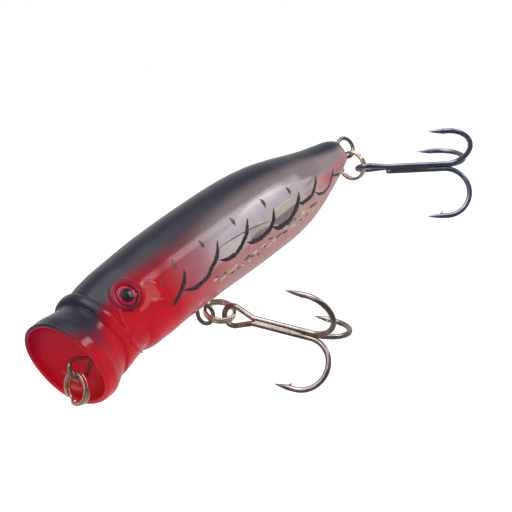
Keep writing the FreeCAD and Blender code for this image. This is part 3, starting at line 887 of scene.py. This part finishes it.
def stroke(points, width, taper=(0.15, 0.4), steps=64, ragged=0.0, lift=0.0):
    """A closed, slightly crowned ribbon of paint lying on the flank."""
    centre = curve_through(points, steps)
    t = np.linspace(0, 1, steps)
    swell = smooth(t, -0.05, taper[0]) * (1 - smooth(t, 1 - taper[1], 1.06))
    half = width / 2 * np.maximum(swell, 0.1)
    place = skin(centre[:, 0], centre[:, 1])
    ahead = np.gradient(place, axis=0)
    normal = surface_normal(centre[:, 0], centre[:, 1])
    across = np.cross(ahead, normal)
    across /= np.linalg.norm(across, axis=1, keepdims=True)
    phase = centre[0, 0] * 3.1
    wobble = {-1: 1 + ragged * np.sin(t * 47 + phase) * np.sin(t * 21), 0: 1.0,
              1: 1 + ragged * np.sin(t * 53 + 2 * phase) * np.cos(t * 17)}
    section = [(-1, -PAINT_SINK), (-0.8, PAINT_LIFT * 0.7), (0, PAINT_LIFT), (0.8, PAINT_LIFT * 0.7),
               (1, -PAINT_SINK), (0, -PAINT_SINK * 2)]
    rings = []
    for share, height in section:
        sideways = share * half * wobble[int(np.sign(share))]
        rings.append(place + across * sideways[:, None] + normal * (height + lift))
    vertices = np.stack(rings, 1).reshape(-1, 3)
    count = len(section)
    ends = [ring_face(0, count), ring_face(steps - 1, count)[::-1]]
    return vertices, band_faces(steps, count) + ends


def scale_marks():
    """The chain of scallops, each rising into a tick."""
    parts = [stroke(FIRST_STROKE, 0.95, (0.12, 0.22), ragged=0.12)]
    for points, width in zip(SCALLOPS, BELLIED):
        parts.append(stroke(points, width, (0.2, 0.16), ragged=0.2))
    return joined(parts)


def leaf_marks():
    """The small leaf-shaped dabs above the scallops and those by the cheek."""
    parts = []
    for x, top, low in LEAVES:
        middle = (top + low) / 2
        parts.append(stroke([(x, top), (x + 0.2, middle), (x - 0.12, low)], 0.85, (0.35, 0.4), 20))
    parts.append(stroke([(20.6, 9.5), (21.0, 5), (21.2, 0.5)], 0.55, (0.4, 0.4), 16))
    brow = [(16.5, 9), (16.9, 14), (18.0, 17.2), (19.2, 16.6), (19.8, 14.4)]
    parts.append(stroke(brow, 0.26, (0.3, 0.3), 24))
    return joined(parts)


DASHES = 34
DASH_START = 31.2
DASH_PITCH = 0.95


def dashes(first, step):
    """Every other one of a broken row of short dashes low on the flank."""
    parts = []
    for k in range(first, DASHES, step):
        x = DASH_START + k * DASH_PITCH + 0.2 * math.sin(5.1 * k)
        a = along(DASH_LINE, x) + 4.4 * math.sin(2.3 * k)
        long = 1.2 + 0.55 * math.sin(3.7 * k)
        slant = 0.9 * math.sin(1.9 * k)
        parts.append(stroke([(x, a + slant), (x + long / 2, a), (x + long, a - slant)],
                            0.44 + 0.1 * math.sin(4.3 * k), (0.1, 0.1), 10, ragged=0.2))
    return joined(parts)


WINDOW_LINE = [(35.4, 1.0), (39.4, 0.2), (43.8, -2.4), (47.6, -7), (49.4, -9.5)]
WINDOWS = [     # corners as (station, angle), in order round each clear window in the foil
    [(51.5, -1.2), (55.9, -0.8), (59.4, -2.2), (58.9, -6.0), (57.6, -10.2), (54.3, -10.6),
     (50.7, -10.4)],
    [(47.6, 2.6), (48.6, -0.6), (50.7, -2.8), (50.2, -7.4), (49.3, -8.6), (48.0, -3.8)],
    [(45.6, -1.6), (47.4, -3.2), (48.8, -9.8), (48.2, -13.0), (46.8, -9.0)],
]


def window_patches():
    parts = []
    for corners in WINDOWS:
        corners = np.array(corners, float)
        middle = corners.mean(0)
        edge = []
        for start, end in zip(corners, np.roll(corners, -1, 0)):
            edge += [start + (end - start) * t for t in np.linspace(0, 1, 9)[:-1]]
        edge = np.array(edge)
        rows = [middle + (edge - middle) * share for share in (0.0, 0.35, 0.7, 0.97, 1.0)]
        lifts = (0.022, 0.022, 0.022, 0.02, -0.03)
        vertices = np.concatenate([skin(r[:, 0], r[:, 1], lift) for r, lift in zip(rows, lifts)])
        count = len(edge)
        faces = band_faces(len(rows), count) + [ring_face(len(rows) - 1, count)]
        parts.append((vertices, faces))
    return joined(parts)


def mirrored(shape, side):
    vertices, faces = shape
    return vertices * (1, side, 1), faces


def add_markings(name, side, materials):
    layers = [
        ("_scale_marks", scale_marks(), "marks"),
        ("_leaf_marks", leaf_marks(), "leaves"),
        ("_pale_dashes", dashes(0, 2), "dashes"),
        ("_olive_dashes", dashes(1, 2), "leaves"),
        ("_foil_windows", window_patches(), "windows"),
        ("_window_line", stroke(WINDOW_LINE, 0.22, (0.3, 0.2), lift=0.004), "leaves"),
    ]
    for suffix, shape, material in layers:
        closed_piece(name + suffix, *mirrored(shape, side), "body", "painted_clear_shell",
                     materials[material])


# ---- eyes ----
def cap(radius, edge, crown, share=1.0, steps=16):
    """A shallow domed profile of (radius, height) pairs from its edge to its middle."""
    turn = np.linspace(0, math.pi / 2, steps)
    profile = [(radius * share * math.cos(t), edge + (crown - edge) * (1 - (share * math.cos(t)) ** 2))
               for t in turn[:-1]]
    return profile + [(0, crown)]


def add_socket(name, place, facing, aft, upward, material):
    """The raised ring round an eye, darker below and behind."""
    middle = (SOCKET_INNER + SOCKET_OUTER) / 2
    half = (SOCKET_OUTER - SOCKET_INNER) / 2
    turn = np.linspace(math.pi, 0, 17)
    crown = [(middle + half * math.cos(t), SOCKET_PROUD - 0.8 * half * (1 - math.sin(t))) for t in turn]
    profile = [(SOCKET_INNER, -0.9)] + crown + [(SOCKET_OUTER + 0.15, -0.8), (SOCKET_INNER, -0.9)]
    vertices, faces = lathe(profile, place, facing)
    offset = vertices - place
    height = offset @ facing
    radial = offset - height[:, None] * facing
    radius = np.linalg.norm(radial, axis=1)
    out = smooth(radius, SOCKET_INNER, SOCKET_OUTER)
    shift = SOCKET_SHIFT[0] * aft + SOCKET_SHIFT[1] * upward
    vertices = vertices + out[:, None] * shift
    low = smooth(-(radial @ upward) + 0.25 * (radial @ aft), 0.2, 2.2)
    colours = mix(SOCKET_PLUM, SOCKET_SHADE, 0.9 * low * (1 - 0.35 * out))
    closed_piece("eye_socket_" + name, vertices, faces, "body", "painted_clear_shell", material, colours)


def add_iris(name, place, facing, aft, upward, material):
    """The domed red foil, with a painted glint near its top edge and painted shade round its rim."""
    radius = EYE_RADIUS - IRIS_PLAY
    profile = [(0, IRIS_EDGE - IRIS_THICK), (radius, IRIS_EDGE - IRIS_THICK)]
    vertices, faces = lathe(profile + cap(radius, IRIS_EDGE, IRIS_CROWN), place, facing)
    radial = vertices - place
    glint = radial @ unit(upward + 0.3 * aft)
    across = radial @ unit(aft - 0.3 * upward)
    bright = smooth(glint, 1.0, 1.45) * (1 - smooth(np.abs(across), 0.4, 1.1))
    # Painted shade towards the iris's rim.
    rim = smooth(np.linalg.norm(radial, axis=1), 1.45, 1.95)
    colours = mix(mix(IRIS_RED, IRIS_RIM_SHADE, rim), IRIS_GLINT, bright)
    iris = closed_piece("eye_iris_" + name, vertices, faces, "body", "red_eye_foil", material, colours)
    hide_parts("eye_foil_" + name)


def add_pupil(name, place, facing, material):
    rounded = cap(EYE_RADIUS, IRIS_EDGE, IRIS_CROWN, PUPIL_RADIUS / EYE_RADIUS)
    profile = [(0, IRIS_EDGE)] + [(radius, height + PUPIL_LIFT) for radius, height in rounded]
    closed_piece("eye_pupil_" + name, *lathe(profile, place, facing), "body", "red_eye_foil", material)


def add_dome(name, place, facing, material):
    """The clear resin over the iris and pupil."""
    under = cap(EYE_RADIUS, IRIS_EDGE + DOME_GAP, IRIS_CROWN + DOME_GAP)
    profile = under[::-1] + cap(EYE_RADIUS + 0.01, IRIS_EDGE + 0.06, DOME_CROWN)
    dome = closed_piece("eye_dome_cap_" + name, *lathe(profile, place, facing), "body", "clear_resin",
                        material)
    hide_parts("eye_dome_" + name)


def add_eye(name, side, materials):
    place = EYE_PLACE * (1, -side, 1)
    facing = unit(EYE_FACING * (1, -side, 1))
    aft = unit(np.array((1, 0, 0)) - facing * facing[0])
    upward = unit(np.array((0, 0, 1)) - facing * facing[2])
    add_socket(name, place, facing, aft, upward, materials["shell"])
    add_iris(name, place, facing, aft, upward, materials["foil"])
    add_pupil(name, place, facing, materials["pupil"])
    add_dome(name, place, facing, materials["resin"])


# ---- wire pieces ----
def loop_side(radius, bend, half_gap, bend_at, steps=14):
    """One side of a loop in its own plane, from the straight neck to the far end of the circle."""
    corner = np.array((bend_at, half_gap + bend, 0))
    span = math.hypot(corner[0], corner[1])
    lean = math.asin((radius + bend) / span) - math.atan2(corner[1], corner[0])
    normal = np.array((math.sin(lean), math.cos(lean), 0))
    first = arc(corner, (bend_at, half_gap, 0), corner - bend * normal, steps)
    touch = math.atan2(normal[1], normal[0])
    angles = np.linspace(touch, math.pi, steps * 3)
    circle = radius * np.stack([np.cos(angles), np.sin(angles), np.zeros_like(angles)], 1)
    flank = first[-1] + (circle[0] - first[-1]) * np.linspace(0, 1, 8)[1:-1, None]
    return np.concatenate([first, flank, circle])


def whole_loop(*sizes):
    near = loop_side(*sizes)
    far = (near * (1, -1, 1))[::-1]
    return np.concatenate([near, far[1:]])


def hanger_path(loop, inward):
    inward = np.array(inward, float)
    across = np.array((-inward[2], 0, inward[0]))
    outer = whole_loop(loop[2], NECK_BEND, NECK_HALF_GAP, NECK_FROM_LOOP)
    buried = outer * (-1, -1, 1) + (HANGER_LENGTH, 0, 0)
    flat = np.concatenate([outer, buried])
    centre = np.array((loop[0], 0, loop[1]))
    return centre + flat[:, :1] * inward + flat[:, 1:2] * across


def add_hangers(material):
    for node, (loop, inward) in HANGERS.items():
        shape = tube(hanger_path(loop, inward), WIRE_RADIUS, closed=True)
        piece = closed_piece(node + "_loop", *shape, "body", "steel_wire", material)
        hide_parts(node)


def split_ring(centre, axis, jog_toward):
    """Two flat coils of squared wire, with a step from one to the other."""
    axis = unit(axis)
    first = unit(np.array(jog_toward) - axis * (np.array(jog_toward) @ axis))
    second = np.cross(axis, first)
    last = 360 - JOG_ANGLE
    total = 720 - JOG_ANGLE - COIL_END_GAP
    degrees = np.linspace(0, total, 330)
    height = -COIL_RISE + 2 * COIL_RISE * smooth(degrees, last, 360)
    angle = np.radians(degrees)[:, None]
    outward = np.cos(angle) * first + np.sin(angle) * second
    path = np.array(centre) + RING_RADIUS * outward + height[:, None] * axis
    return tube(path, RING_HALF_WIDE, 20, across=(outward, np.broadcast_to(axis, outward.shape)))


def add_rings(material):
    for name, pose in RINGS.items():
        coils = split_ring(*pose)
        piece = closed_piece(name + "_ring_coils", *coils, name + "_ring", "nickel_ring", material)
        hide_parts(name + "_split_ring")


def hook_point(degrees):
    """The way a hook stands out from its shank, and where its point is."""
    angle = math.radians(degrees)
    out = np.array((0, math.cos(angle), math.sin(angle)))
    return out, np.array((BEND_AT - POINT_REACH, 0, 0)) + out * (SHANK_OFFSET + 2 * BEND_RADIUS)


def hook_side(degrees, shank_from):
    """Path and radii of one hook, from its needle point round the bend and up the shank."""
    out, tip = hook_point(degrees)
    taper_end = tip + (POINT_TAPER, 0, 0)
    point = tip + (taper_end - tip) * np.linspace(0, 1, 16)[:, None]
    turn = np.linspace(0, math.pi, 44)
    bend = (BEND_AT + BEND_RADIUS * np.sin(turn))[:, None] * (1, 0, 0)
    bend = bend + (SHANK_OFFSET + BEND_RADIUS + BEND_RADIUS * np.cos(turn))[:, None] * out
    shank_end = np.array((shank_from, 0, 0)) + out * SHANK_OFFSET
    shank = bend[-1] + (shank_end - bend[-1]) * np.linspace(0, 1, 20)[1:, None]
    path = np.concatenate([point, bend, shank])
    from_tip = np.concatenate([[0], np.cumsum(np.linalg.norm(np.diff(path, axis=0), axis=1))])
    grown = np.clip(from_tip / POINT_TAPER, 0, 1)
    radii = TIP_RADIUS + (HOOK_WIRE - TIP_RADIUS) * (1.35 * grown - 0.35 * grown**2)
    return path, np.minimum(radii, HOOK_WIRE)


def barb(degrees):
    """A sliver raised from the inside of the point, aimed back at the bend."""
    out, tip = hook_point(degrees)
    side = np.array((0, -out[2], out[1]))
    root = tip + (BARB_FROM_TIP - 1.1, 0, 0) - out * 0.16
    heel = tip + (BARB_FROM_TIP - 0.15, 0, 0) - out * 0.3
    peak = tip + (BARB_FROM_TIP + 0.2, 0, 0) - out * (HOOK_WIRE + BARB_HEIGHT)
    vertices = np.array([root, heel + side * 0.2, heel - side * 0.2, peak + side * 0.035,
                         peak - side * 0.035])
    faces = [(0, 1, 3), (0, 3, 4), (0, 4, 2), (1, 2, 4, 3), (0, 2, 1)]
    return vertices, faces


def double_hook():
    right, radii = hook_side(30, SHANK_START)
    left, _ = hook_side(150, SHANK_START)
    rise = SHANK_OFFSET * math.sin(math.radians(30))
    half_gap = SHANK_OFFSET * math.cos(math.radians(30))
    eye = whole_loop(HOOK_EYE_RADIUS, HOOK_EYE_BEND, half_gap, SHANK_START) + (0, 0, rise)
    path = np.concatenate([right, eye[1:-1], left[::-1]])
    thick = np.concatenate([radii, np.full(len(eye) - 2, HOOK_WIRE), radii[::-1]])
    return joined([tube(path, thick), barb(30), barb(150)])


def single_hook():
    path, radii = hook_side(-90, SHANK_START)
    end = path[-1] + np.array((-0.35, 0, 0))
    path = np.concatenate([path, [end]])
    radii = np.concatenate([radii, [HOOK_WIRE * 0.55]])
    return joined([tube(path, radii), barb(-90)])


def posed(shape, eye, shank, across):
    vertices, faces = shape
    u = np.array(shank, float)
    v = np.array(across, float)
    axes = np.stack([unit(u), unit(v - u * (v @ u) / (u @ u)), unit(np.cross(u, v))])
    return vertices @ axes + np.array(eye), faces


def filler_run():
    """The last of the brazing metal, thinning out between the shanks before the bends."""
    at = np.linspace(FILLER_RUN[0], FILLER_RUN[1], 14)
    fade = (at - at[0]) / (at[-1] - at[0])
    path = np.stack([at, np.zeros_like(at), np.zeros_like(at)], 1)
    return tube(path, FILLER_RADIUS * (1 - 0.55 * fade**2))


def add_trebles(hooks, fillers):
    for name, pose in TREBLES.items():
        closed_piece(name + "_filler_run", *posed(filler_run(), *pose), name + "_treble",
                     "black_nickel_hook", fillers[name])
        for kind, shape in (("double_hook", double_hook()), ("single_hook", single_hook())):
            piece = closed_piece(f"{name}_{kind}_wire", *posed(shape, *pose), name + "_treble",
                                 "black_nickel_hook", hooks[name])
            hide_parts(f"{name}_{kind}")


# ---- carried-over pieces, stage, light and camera ----
def dress(node, material):
    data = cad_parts[node].data
    data.materials.clear()
    data.materials.append(material)


def white_material():
    m = Nodes("studio_white")
    m.link(m.remap(m.noise(3.0), 0.55, 0.65), m.shader.inputs["Roughness"])
    m.set(Base_Color=(0.92, 0.92, 0.92, 1.0), Emission_Color=(1, 1, 1, 1), Emission_Strength=0.6)
    return m.material


def add_floor():
    below = CAD_BOX[0].z - 0.045
    bpy.ops.mesh.primitive_plane_add(size=30, location=(0.04, 0, below))
    floor = bpy.context.object
    floor.name = "studio_floor"
    floor.data.materials.append(white_material())
    floor.visible_glossy = False


def add_world():
    """White to the eye and to matt surfaces; gloss and metal see a dark room with a bright backdrop."""
    world = bpy.data.worlds.new("tent")
    bpy.context.scene.world = world
    world.use_nodes = True
    t = Tree(world.node_tree)
    t.tree.nodes.clear()
    seen_from = t.node("ShaderNodeTexCoord").outputs["Generated"]
    rays = t.node("ShaderNodeLightPath")

    def ramp(direction, stops):
        """A grey that depends on how far a ray points in a direction."""
        dot = t.node("ShaderNodeVectorMath")
        dot.operation = "DOT_PRODUCT"
        dot.inputs[1].default_value = unit(direction)
        t.link(seen_from, dot.inputs[0])
        half = t.node("ShaderNodeMapRange", Value=dot.outputs["Value"], From_Min=-1)
        node = t.node("ShaderNodeValToRGB", Fac=half.outputs["Result"])
        while len(node.color_ramp.elements) < len(stops):
            node.color_ramp.elements.new(0.5)
        for element, (at, level) in zip(node.color_ramp.elements, stops):
            element.position = at
            element.color = (level, level, level, 1)
        return node.outputs["Color"]

    def background(colour):
        return t.node("ShaderNodeBackground", Color=colour).outputs[0]

    def choose(ray, plain, chosen):
        node = t.node("ShaderNodeMixShader", Fac=rays.outputs[ray])
        t.link(plain, node.inputs[1])
        t.link(chosen, node.inputs[2])
        return node.outputs[0]

    soft = ramp((0, 0, 1), [(0.0, 0.42), (0.5, 0.55), (1.0, 0.95)])
    backdrop = ramp(CAMERA_FORWARD, [(0.0, 0.09), (0.45, 0.16), (0.66, 0.28), (0.85, 0.5)])
    overhead = ramp((0.1, -0.45, 0.88), [(0.0, 0.0), (0.84, 0.0), (0.93, 1.0), (0.97, 2.2)])
    gloss = background(t.blend(1.0, backdrop, overhead, "LIGHTEN"))
    lit = choose("Is Glossy Ray", background(soft), gloss)
    seen = choose("Is Camera Ray", lit, background((1, 1, 1, 1)))
    t.node("ShaderNodeOutputWorld", Surface=seen)


LIGHT_DISTANCE = 420
LIGHT_TARGET = (40, 0, 0)


def aim(thing, place, *axes):
    """Puts a light or camera in place by its right, up and backward directions."""
    turn = Matrix([Vector(axis) for axis in axes]).transposed().to_4x4()
    thing.matrix_world = Matrix.Translation(Vector(to_frame(place))) @ turn


def add_area_light(name, direction, size, power):
    """A soft box in a direction from the lure, facing it, its long side along the body."""
    data = bpy.data.lights.new(name, "AREA")
    data.shape = "RECTANGLE"
    data.size, data.size_y = size[0] * MM, size[1] * MM
    data.energy = power
    place = np.array(LIGHT_TARGET) + unit(direction) * LIGHT_DISTANCE
    toward = Vector(-unit(direction))
    long_side = (Vector((1, 0, 0)) - toward * toward.x).normalized()
    aim(linked(name, data), place, long_side, (-toward).cross(long_side), -toward)


CAMERA_PLACE = (-132.84, -226.70, 31.36)
CAMERA_RIGHT = (0.6235, -0.5840, -0.5198)
CAMERA_FORWARD = (0.6184, 0.7752, -0.1291)
CAMERA_LENS = 107.88


def add_camera():
    data = bpy.data.cameras.new("camera")
    data.sensor_width = 36
    data.lens = CAMERA_LENS
    data.clip_start = 0.01
    camera = linked("camera", data)
    forward = unit(CAMERA_FORWARD)
    right = unit(np.array(CAMERA_RIGHT) - forward * (np.array(CAMERA_RIGHT) @ forward))
    aim(camera, CAMERA_PLACE, right, np.cross(right, forward), -forward)
    bpy.context.scene.camera = camera


def build():
    add_camera()
    add_world()
    add_floor()
    add_area_light("streak_box", (0.645, -0.705, 0.262), (170, 80), 0.26)
    add_area_light("rim_strip", (-0.85, -0.45, 0.35), (40, 300), 0.16)
    add_area_light("top_box", (-0.25, -0.35, 1.0), (400, 260), 0.40)
    bpy.context.scene.view_settings.view_transform = "Standard"

    materials = {
        "shell": shell_material(),
        "marks": brushed_material("brushed_marks", 1800.0, (0.010, 0.008, 0.008),
                                  (0.045, 0.032, 0.034), 0.15),
        "leaves": brushed_material("olive_dabs", 1500.0, (0.030, 0.026, 0.020),
                                   (0.090, 0.076, 0.058)),
        "dashes": dash_material(),
        "windows": window_material(),
        "resin": resin_material(),
        "pupil": pupil_material(),
        "foil": foil_material(),
    }
    wire = metal_material("bright_wire", (0.24, 0.22, 0.21), (0.44, 0.41, 0.38), 0.2, 500.0, 0.9)
    nickel = metal_material("nickel_plate", (0.86, 0.74, 0.54), (1.0, 0.94, 0.80), 0.15, 420.0)
    hooks = {
        # The same black nickel plate on both trebles, tinted warmer on the belly's and bluer on the
        # tail's.
        "belly": metal_material("warm_tinted_nickel", (0.30, 0.26, 0.26), (0.56, 0.50, 0.46), 0.26, 240.0),
        "tail": metal_material("blue_tinted_nickel", (0.20, 0.21, 0.32), (0.36, 0.38, 0.50), 0.26, 240.0),
    }
    fillers = {
        # The belly's filler is painted pale gold and half metallic as a painted highlight in the valley
        # between its shanks.
        "belly": metal_material("filler_painted_highlight", (0.62, 0.54, 0.42), (0.92, 0.86, 0.74), 0.3, 380.0,
                                0.4),
        "tail": metal_material("dark_filler", (0.24, 0.23, 0.25), (0.36, 0.34, 0.35), 0.28, 380.0),
    }
    steel = metal_material("weight_steel", (0.42, 0.42, 0.43), (0.56, 0.56, 0.57), 0.3, 300.0)
    for name, side in SIDES.items():
        half_shell("shell_" + name, side, materials["shell"])
        add_markings(name, side, materials)
        add_eye(name, side, materials)
    add_hangers(wire)
    add_rings(nickel)
    add_trebles(hooks, fillers)
    dress("reflector_plate", plate_material())
    for node in ("tail_weight", "belly_weight"):
        dress(node, steel)
    for place in ("front", "middle", "rear"):
        dress("rattle_ball_" + place, steel)
    for name in TREBLES:
        dress(name + "_braze", fillers[name])


build()
